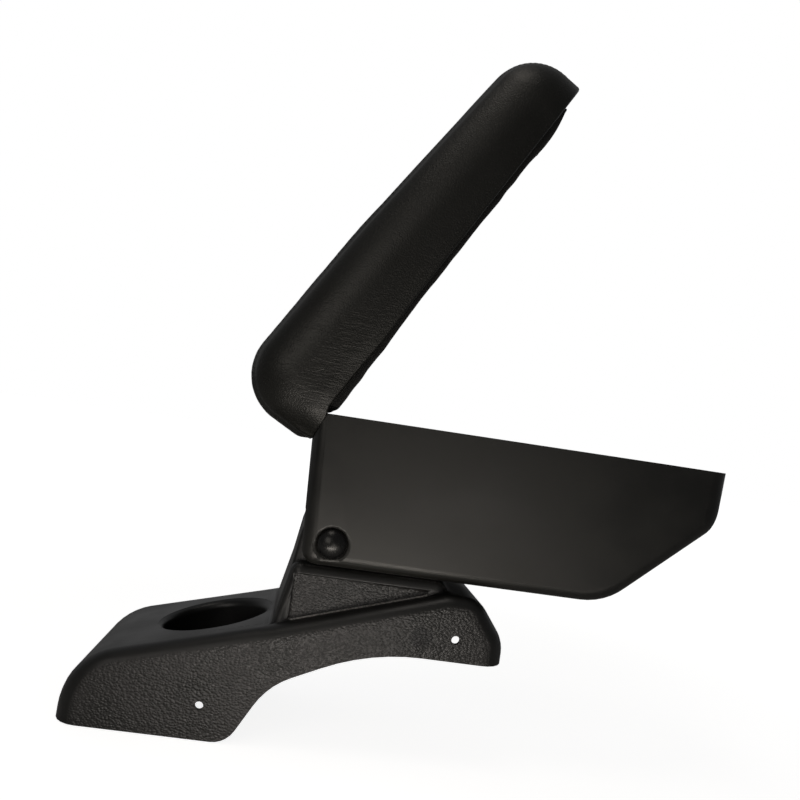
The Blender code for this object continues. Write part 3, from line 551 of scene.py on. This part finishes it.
rear_side = seam_points(np.linspace(0.0, REAR_TURN, ROWS))
top_side = seam_points(np.linspace(REAR_TURN, along[-1] - FRONT_TURN, COLUMNS))
front_side = seam_points(np.linspace(along[-1], along[-1] - FRONT_TURN, ROWS))
hem_side = rear_side[0] + (front_side[0] - rear_side[0]) * np.linspace(0, 1, COLUMNS)[:, None]


def coons(low, high, left, right):
    """(1-v) low + v high + (1-u) left + u right - the four corners' blend."""
    u = np.linspace(0, 1, len(low))[None, :, None]
    v = np.linspace(0, 1, len(left))[:, None, None]
    sides = (1 - v) * low[None] + v * high[None] + (1 - u) * left[:, None] + u * right[:, None]
    corners = ((1 - u) * (1 - v) * low[0] + u * (1 - v) * low[-1]
               + (1 - u) * v * high[0] + u * v * high[-1])
    return sides - corners


panel = coons(hem_side, top_side, rear_side, front_side)
depth = distance_to_outline(panel)
print("side panel", panel.shape)


# %% [markdown]
# Creases gather where the lid is leaned on, in its rear half: short, sharp and roughly
# square to its length. Ridged noise gives them: 1 - |noise| peaks in thin lines where
# the noise crosses zero. It is squeezed along the lid and stretched across it, and a
# second, wider noise bends the lines. Soft swells and dimples are Gaussian bumps.

# %% Creases and dimples
CREASE_MM = 0.16
DENTS = [                    # (u, w, radius, height) of swells and dimples, in metres
    (-0.0070, 0.0125, 0.0080, 0.0005),
    (-0.0200, 0.0060, 0.0110, -0.0024),
    (0.060, 0.030, 0.045, 0.0006),
    (0.215, 0.024, 0.040, -0.0005),
]


def creases(u, w, side):
    bend = value_noise(u / 0.030, w / 0.022, 3 + side) * 0.0040
    lines = 0.0
    for k, (pitch, share) in enumerate(((0.0130, 0.60), (0.0070, 0.40))):
        n = value_noise((u + bend + 0.35 * w) / pitch, w / 0.030, 11 * k + side)
        lines = lines + share * (1.0 - np.abs(n)) ** 2
    worn = smoothstep(-0.022, 0.010, u) * (1.0 - smoothstep(0.095, 0.200, u))
    patch = 0.45 + 0.55 * smoothstep(-0.4, 0.5, value_noise(u / 0.035, w / 0.020, 40 + side))
    band = smoothstep(0.004, 0.016, w) * (1.0 - smoothstep(0.048, 0.060, w))
    return lines * (0.10 + 0.90 * worn) * patch * band * CREASE_MM * MM


def swells(u, w):
    total = np.zeros_like(u)
    for at_u, at_w, radius, height in DENTS:
        total += height * np.exp(-((u - at_u) ** 2 + (w - at_w) ** 2) / radius ** 2)
    return total


def sagged(u, w):
    """Behind the hinge the loose cover hangs down to the box's slanted corner and curls in.

    In front of the hinge its hem also sags a little, as a Gaussian along the lid.
    """
    near_hem = 1.0 - smoothstep(HEM_W, 0.026, w)
    drop = (0.0035 - 0.145 * np.minimum(u, 0.0)) * (1.0 - smoothstep(-0.0030, 0.0075, u))
    rear_end = 1.0 - smoothstep(-0.0262, -0.0185, u)
    drop = drop + 0.0016 * np.exp(-((u - 0.068) / 0.030) ** 2)
    curl = 0.0040 * rear_end * (1.0 - smoothstep(HEM_W, 0.013, w)) ** 2
    return u + curl, w - drop * (1.0 - 0.25 * rear_end) * near_hem


def side_panel(side):
    """The patch with its distance across, and the seam's groove along its border."""
    u, w = panel[..., 0], panel[..., 1]
    reach = side_reach(depth)
    reach = reach + BULGE * np.sin(np.clip((depth - SEAM_IN) / 0.060, 0, 1) * math.pi) ** 2
    reach = reach - TUCK * (1.0 - smoothstep(HEM_W, HEM_W + 0.011, w)) ** 2
    inner = smoothstep(0.0, 0.006, depth - SEAM_IN)
    reach = reach + (swells(u, w) + creases(u, w, side)) * inner
    ease = GROOVE * np.exp(-((depth - SEAM_IN) / GROOVE_WIDTH) ** 2)
    centre = np.array([0.13, 0.02])
    away = panel - centre
    away = away / np.linalg.norm(away, axis=-1, keepdims=True)
    moved = panel - away * (ease * SEAM_FLAT)[..., None]
    u, w = sagged(moved[..., 0], moved[..., 1])
    return u, side * (reach - ease * SEAM_OUT), w


# %% Grid of the centre panel
seam_s = np.concatenate([np.linspace(0.0, REAR_TURN, ROWS),
                         np.linspace(REAR_TURN, along[-1] - FRONT_TURN, COLUMNS)[1:],
                         np.linspace(along[-1] - FRONT_TURN, along[-1], ROWS)[1:]])


def centre_panel():
    """The side view swept across, moved in by the pillow's inset and the groove."""
    s = seam_s[:, None]
    y = np.linspace(-SEAM_Y, SEAM_Y, ACROSS)[None, :]
    at = np.stack([np.interp(seam_s, along, outline[:, k]) for k in range(2)], -1)
    out = np.stack([np.interp(seam_s, along, outward[:, k]) for k in range(2)], -1)
    inset = lid_inset(y) + 0.0 * s
    top = smoothstep(0.05, 0.10, s) * (1.0 - smoothstep(along[-1] - 0.09, along[-1] - 0.05, s))
    soft = value_noise(s / 0.020 + 0.0 * y, y / 0.030 + 0.0 * s, 60) * 0.00025 * top
    fine = (1.0 - np.abs(value_noise(s / 0.006 + 0.0 * y, y / 0.022, 61))) ** 3
    fine = fine * 0.00012 * (1.0 - smoothstep(0.16, 0.30, s))
    free = 1.0 - smoothstep(SEAM_Y - 0.006, SEAM_Y, np.abs(y))
    ease = GROOVE * np.exp(-((SEAM_Y - np.abs(y)) / GROOVE_WIDTH) ** 2)
    sink = inset - (soft + fine) * free
    u = at[:, :1] - out[:, :1] * (sink + ease * SEAM_FLAT)
    w = at[:, 1:] - out[:, 1:] * (sink + ease * SEAM_FLAT)
    u, w = sagged(u, w)
    return u, y - np.sign(y) * ease * SEAM_OUT + 0.0 * s, w


# %% [markdown]
# At the hem the cover turns under the lid and is stapled to its board. The loop that
# the three panels leave at their lower edges is moved in ring by ring: down round a
# small radius first, then level. The wall of the leather comes last, as a Solidify.

# %% Turned hem and the mesh of the cover
HEM_RINGS = [(0.0002, 0.0007), (0.0007, 0.0014), (0.0016, 0.0019), (0.0028, 0.0020),
             (0.0060, 0.0020), (0.0085, 0.0019)]      # (in, down) from the panels' edge


def hem_rings(loop):
    """Each ring is the loop moved in by its own normal in plan, and down."""
    step = np.roll(loop, -1, 0) - np.roll(loop, 1, 0)
    flat = np.stack([-step[:, 1], step[:, 0]], -1)
    flat /= np.linalg.norm(flat, axis=1, keepdims=True)
    middle = loop[:, :2] - loop[:, :2].mean(0)
    flat *= -np.sign((flat * middle).sum(1))[:, None]
    rings = [loop]
    for inward, down in HEM_RINGS:
        ring = loop.copy()
        ring[:, :2] += flat * inward
        back = min(1.0, inward / 0.0030)
        ring[:, 2] = loop[:, 2] * (1.0 - back) + HEM_W * back - down
        rings.append(ring)
    return np.array(rings)


def grid_faces(rows, columns, start, closed=False):
    """Quads of a grid of points numbered row by row."""
    i = np.arange(rows - 1)[:, None]
    j = np.arange(columns if closed else columns - 1)[None, :]
    k = (j + 1) % columns
    quads = np.stack([i * columns + j, i * columns + k, (i + 1) * columns + k,
                      (i + 1) * columns + j], -1)
    return quads.reshape(-1, 4) + start


def mesh_piece(name, grids, material, smooth=True, uv=None):
    """One object from grids of (points, flip, closed), its doubles merged."""
    points, faces, start = [], [], 0
    for grid, flip, closed in grids:
        quads = grid_faces(grid.shape[0], grid.shape[1], start, closed)
        points.append(grid.reshape(-1, 3))
        faces.append(quads[:, ::-1] if flip else quads)
        start += grid.shape[0] * grid.shape[1]
    mesh = bpy.data.meshes.new(name)
    mesh.from_pydata(np.concatenate(points).tolist(), [], np.concatenate(faces).tolist())
    if uv is not None:
        layer = mesh.uv_layers.new(name="surface")
        corner = np.empty(len(mesh.loops), np.int32)
        mesh.loops.foreach_get("vertex_index", corner)
        layer.data.foreach_set("uv", uv[corner].astype(np.float32).ravel())
    work = bmesh.new()
    work.from_mesh(mesh)
    bmesh.ops.remove_doubles(work, verts=work.verts[:], dist=0.00002)
    bmesh.ops.recalc_face_normals(work, faces=work.faces[:])
    work.to_mesh(mesh)
    work.free()
    if smooth:
        mesh.shade_smooth()
    mesh.materials.append(material)
    piece = bpy.data.objects.new(name, mesh)
    bpy.context.scene.collection.objects.link(piece)
    print(name, len(mesh.polygons), "faces")
    return piece


right = np.stack(side_panel(-1), -1)
left = np.stack(side_panel(1), -1)
centre = np.stack(centre_panel(), -1)
seam_line = np.concatenate([right[:, 0], right[-1, 1:], right[-2::-1, -1]])
centre[:, 0] = seam_line
seam_line = np.concatenate([left[:, 0], left[-1, 1:], left[-2::-1, -1]])
centre[:, -1] = seam_line
hem_loop = np.concatenate([right[0, :-1], centre[-1, :-1], left[0, :0:-1], centre[0, :0:-1]])
rings = hem_rings(hem_loop[:, [0, 1, 2]])


def placed(grid):
    return lid_to_world(grid[..., 0], grid[..., 1], grid[..., 2])


cover = mesh_piece("leather_cover", [(placed(right), False, False), (placed(left), True, False),
                                     (placed(centre), False, False), (placed(rings), False, True)],
                   FINISH["synthetic_leather"])
wall = cover.modifiers.new("wall", 'SOLIDIFY')
wall.thickness = 0.0008
wall.offset = -1.0
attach(cover, "lid")
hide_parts("lid_cushion")

# %% [markdown]
# A lockstitch shows as a row of short raised dashes beside the seam, on the centre panel. One stitch is a
# six-sided grain, thick in the middle and thin at its ends. All of them are made at
# once: every stitch is the same little profile, set along the seam's own direction.

# %% Stitches along both seams
STITCH_PITCH, STITCH_LENGTH, STITCH_R = 0.0042, 0.0030, 0.00030
STITCH_FROM_SEAM = 0.0030


def stitch_row(side):
    """Centres on the centre panel, beside the seam, and the direction at each."""
    s = np.arange(0.012, along[-1] - 0.012, STITCH_PITCH)
    inset = float(lid_inset(np.array(SEAM_Y - STITCH_FROM_SEAM)))
    at = np.stack([np.interp(s, along, (outline - outward * inset)[:, k]) for k in range(2)], -1)
    way = np.stack([np.interp(s, along, tangent[:, k]) for k in range(2)], -1)
    out = np.stack([np.interp(s, along, outward[:, k]) for k in range(2)], -1)
    y = side * (side_reach(np.full(len(s), inset)) + 0.0001)
    share = float(flat_share(np.array(inset)))
    normal = np.stack([out[:, 0] * share, np.full(len(s), side * math.sqrt(1 - share ** 2)),
                       out[:, 1] * share], -1)
    centres = np.stack([at[:, 0], y, at[:, 1]], -1) - normal * 0.00024
    return centres, np.stack([way[:, 0], 0.0 * s, way[:, 1]], -1), normal


def stitches(name, side):
    centres, way, normal = stitch_row(side)
    third = np.cross(way, normal)
    station = np.array([-0.5, -0.42, -0.15, 0.15, 0.42, 0.5]) * STITCH_LENGTH
    girth = np.array([0.05, 0.75, 1.0, 1.0, 0.75, 0.05]) * STITCH_R
    turn = np.arange(6) / 6 * 2 * math.pi
    ring = (normal[:, None, :] * np.cos(turn)[None, :, None]
            + third[:, None, :] * np.sin(turn)[None, :, None])
    grids = []
    for k in range(len(centres)):
        body = (centres[k] + way[k] * station[:, None])[:, None, :] + ring[k] * girth[:, None, None]
        grids.append((placed(body), False, True))
    piece = mesh_piece(name, grids, thread)
    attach(piece, "lid")
    return piece


thread = thread_material()
stitches("stitches_right", -1)
stitches("stitches_left", 1)

# %% [markdown]
# The lining is black cloth drawn over a thin pad and tacked under the lid. Its edge
# isn't straight: the cloth bunches between its tacks, so the rim waves in height and
# in width. It is a profile carried round a rounded rectangle, then closed underneath.

# %% Lining of the lid
lining_low, lining_high = 0.0030, 0.2829      # along the lid, from the hinge axis
LINING_HALF, LINING_CORNER = 0.0573, 0.0110
LINING_TOP, LINING_DEEP = 0.0006, 0.0042


def rounded_loop(x0, x1, half, corner, count):
    """Points round a rounded rectangle, evenly spaced, with their outward normals."""
    c = np.array([[x1 - corner, half - corner], [x0 + corner, half - corner],
                  [x0 + corner, corner - half], [x1 - corner, corner - half]])
    pts = []
    for k in range(4):
        a = (np.linspace(0, 90, 14) + 90 * k) * math.pi / 180
        pts.append(c[k] + corner * np.stack([np.cos(a), np.sin(a)], -1))
    pts = np.concatenate(pts)
    pts = np.concatenate([pts, pts[:1]])
    length = np.concatenate([[0], np.cumsum(np.linalg.norm(np.diff(pts, axis=0), axis=1))])
    even = np.linspace(0, length[-1], count, endpoint=False)
    loop = np.stack([np.interp(even, length, pts[:, k]) for k in range(2)], -1)
    way = np.roll(loop, -1, 0) - np.roll(loop, 1, 0)
    way /= np.linalg.norm(way, axis=1, keepdims=True)
    return loop, np.stack([way[:, 1], -way[:, 0]], -1), even


def lining_piece():
    loop, out, even = rounded_loop(lining_low, lining_high, LINING_HALF, LINING_CORNER, 640)
    wave = (0.55 * value_noise(even / 0.024, 0 * even, 71)
            + 0.45 * value_noise(even / 0.009, 0 * even, 72))
    u = loop[:, 0]
    deep = (LINING_DEEP + 0.0006 * wave + 0.0017 * np.exp(-((u - 0.250) / 0.016) ** 2)
            + 0.0020 * (1.0 - smoothstep(0.030, 0.110, u))
            - 0.0024 * smoothstep(0.262, 0.283, u))
    deep = deep * (1.0 - 0.3 * (1.0 - smoothstep(0.0030, 0.0075, u)))
    wide = 0.0006 * value_noise(even / 0.013, 0 * even, 73)
    profile = [(0.0015, 0.0), (0.0, 0.03), (0.0004, 0.25), (0.0007, 0.55), (0.0003, 0.80),
               (-0.0008, 0.95), (-0.0024, 1.0), (-0.0060, 0.97), (-0.0120, 0.90)]
    rows = []
    for push, share in profile:
        away = push + wide * math.sin(math.pi * min(share, 1.0))
        rows.append(np.stack([loop[:, 0] + out[:, 0] * away, loop[:, 1] + out[:, 1] * away,
                              LINING_TOP - deep * share], -1))
    spine = np.stack([np.clip(loop[:, 0], lining_low + 0.055, lining_high - 0.055),
                      0.0 * even, np.full(len(even), LINING_TOP - LINING_DEEP * 0.9)], -1)
    last = rows[-1]
    for f in np.linspace(0.12, 1.0, 12):
        row = last * (1 - f) + spine * f
        row[:, 2] = (LINING_TOP - LINING_DEEP * 0.9
                     + (last[:, 2] - LINING_TOP + LINING_DEEP * 0.9) * (1 - f) ** 3)
        rows.append(row)
    top = spine.copy()
    top[:, 2] = LINING_TOP
    grid = np.array(rows)
    lid_top = np.array([top, np.stack([rows[0][:, 0], rows[0][:, 1], rows[0][:, 2]], -1)])
    uv = np.concatenate([grid[..., :2].reshape(-1, 2), lid_top[..., :2].reshape(-1, 2)])
    return mesh_piece("cloth_lining", [(placed(grid), False, True), (placed(lid_top), True, True)],
                      FINISH["lining_cloth"], uv=uv)


lining = lining_piece()
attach(lining, "lid")
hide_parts("lid_lining")

# %% [markdown]
# The camera stands level with the box's rim, a little over 600 mm away, and is rolled
# by about 8 degrees, which makes the whole armrest look tilted. Its place was found
# by matching the base's edges, the pivot and the rim to the photograph.

# %% Camera
FOCAL_PX, IMAGE_PX, SENSOR_MM = 772.5, 800.0, 36.0
ROLL, YAW = math.radians(8.25), math.radians(3.0)
CAMERA_AT = np.array([0.1510, -0.6050, 0.2374])
EYE_PX = (357.8, 416.6)      # where the picture's own axis meets it, in pixels
ahead = np.array([math.sin(YAW), math.cos(YAW), 0.0])
across = np.array([math.cos(YAW), -math.sin(YAW), 0.0])
up = np.array([0.0, 0.0, 1.0])
across_rolled = across * math.cos(ROLL) + up * math.sin(ROLL)
up_rolled = -across * math.sin(ROLL) + up * math.cos(ROLL)

camera_data = bpy.data.cameras.new("studio_camera")
camera_data.sensor_width = SENSOR_MM
camera_data.lens = FOCAL_PX / IMAGE_PX * SENSOR_MM
camera_data.shift_x = (IMAGE_PX / 2 - EYE_PX[0]) / IMAGE_PX
camera_data.shift_y = (EYE_PX[1] - IMAGE_PX / 2) / IMAGE_PX
camera_data.clip_start = 0.01
camera = bpy.data.objects.new("studio_camera", camera_data)
turned = np.eye(4)
turned[:3, 0], turned[:3, 1], turned[:3, 2] = across_rolled, up_rolled, -ahead
turned[:3, 3] = CAMERA_AT
camera.matrix_world = Matrix(turned.tolist())
bpy.context.scene.collection.objects.link(camera)
bpy.context.scene.camera = camera

# %% [markdown]
# Dark plastic shows what it reflects, more than its own colour. A pale room and floor
# give the soft glow on the lower edges, a large soft lamp above and to the left gives
# the long highlight on the lid, and a weaker one on the right shapes the box's front.

# %% Room, floor and lamps
def area_lamp(name, at, towards, size, power):
    data = bpy.data.lights.new(name, 'AREA')
    data.shape = 'RECTANGLE'
    data.size, data.size_y = size
    data.energy = power
    data.color = WARM[:3]
    lamp = bpy.data.objects.new(name, data)
    lamp.location = at
    lamp.rotation_euler = (Vector(towards) - Vector(at)).to_track_quat('-Z', 'Y').to_euler()
    bpy.context.scene.collection.objects.link(lamp)
    return lamp


WARM = linear("#fff7ec")
area_lamp("key_lamp", (-0.50, -1.12, 0.70), (0.16, -0.05, 0.22), (0.75, 0.75), 2.1)
area_lamp("top_lamp", (-0.10, -0.30, 1.60), (0.10, -0.20, 0.0), (0.60, 0.60), 1.9)
area_lamp("low_card", (0.46, -1.15, 0.09), (0.26, 0.0, 0.12), (0.42, 0.22), 0.42)
bounce = area_lamp("bounce_from_floor", (0.30, -0.56, 0.004), (0.30, -0.56, 1.0), (0.50, 0.44), 1.0)
bounce.visible_camera = False
near = area_lamp("bounce_on_wall", (0.17, -0.28, 0.02), (0.17, -0.06, 0.06), (0.26, 0.03), 0.28)
near.visible_camera = False

FRONT_GLOW, BACKDROP_GLOW = 0.09, 0.26    # the room behind the camera, and the backdrop
ROOM_TURN = (-0.1, 0.7)                   # between them, by the direction's share along Y
world = bpy.data.worlds.new("pale_room")
bpy.context.scene.world = world
world.use_nodes = True
sky = world.node_tree.nodes["Background"]
sky.inputs["Color"].default_value = linear("#ffffff")
seen = add(world, "ShaderNodeLightPath")
direct = maths(world, 'MAXIMUM', seen.outputs["Is Camera Ray"], seen.outputs["Is Transmission Ray"])
heading = add(world, "ShaderNodeSeparateXYZ", {
    "Vector": add(world, "ShaderNodeTexCoord").outputs["Generated"]}).outputs["Y"]
room = ramp(world, heading, ROOM_TURN[0], ROOM_TURN[1], FRONT_GLOW, BACKDROP_GLOW)
link(world, maths(world, 'MAXIMUM', direct, room), sky.inputs["Strength"])

floor_mesh = bpy.data.meshes.new("floor")
FLOOR = 6.0
floor_z = CAD_BOX[0][2] - 0.0005
floor_mesh.from_pydata([(-FLOOR, -FLOOR, floor_z), (FLOOR, -FLOOR, floor_z),
                        (FLOOR, FLOOR, floor_z), (-FLOOR, FLOOR, floor_z)], [], [(0, 1, 2, 3)])
floor = bpy.data.objects.new("floor", floor_mesh)
bpy.context.scene.collection.objects.link(floor)
floor_material, floor_shader = new_material("matt_white_paper", "#c4c4c4", 0.9)
grain = add(floor_material, "ShaderNodeTexNoise", {
    "Vector": stretched(floor_material, 3, 3, 3), "Scale": 1.0}).outputs["Fac"]
link(floor_material, ramp(floor_material, grain, 0.3, 0.7, 0.88, 0.94),
     floor_shader.inputs["Roughness"])
glow = add(floor_material, "ShaderNodeLightPath").outputs["Is Camera Ray"]
floor_place = add(floor_material, "ShaderNodeTexCoord").outputs["Object"]
from_middle = add(floor_material, "ShaderNodeVectorMath", {0: floor_place, 1: (0.18, 0.0, 0.0)},
                  operation='DISTANCE').outputs["Value"]
paper = ramp(floor_material, from_middle, 0.35, 1.10, 0.87, 1.0)
floor_shader.inputs["Emission Color"].default_value = linear("#ffffff")
link(floor_material, maths(floor_material, 'MULTIPLY', glow, paper),
     floor_shader.inputs["Emission Strength"])
floor_mesh.materials.append(floor_material)
bpy.context.scene.view_settings.view_transform = 'Standard'
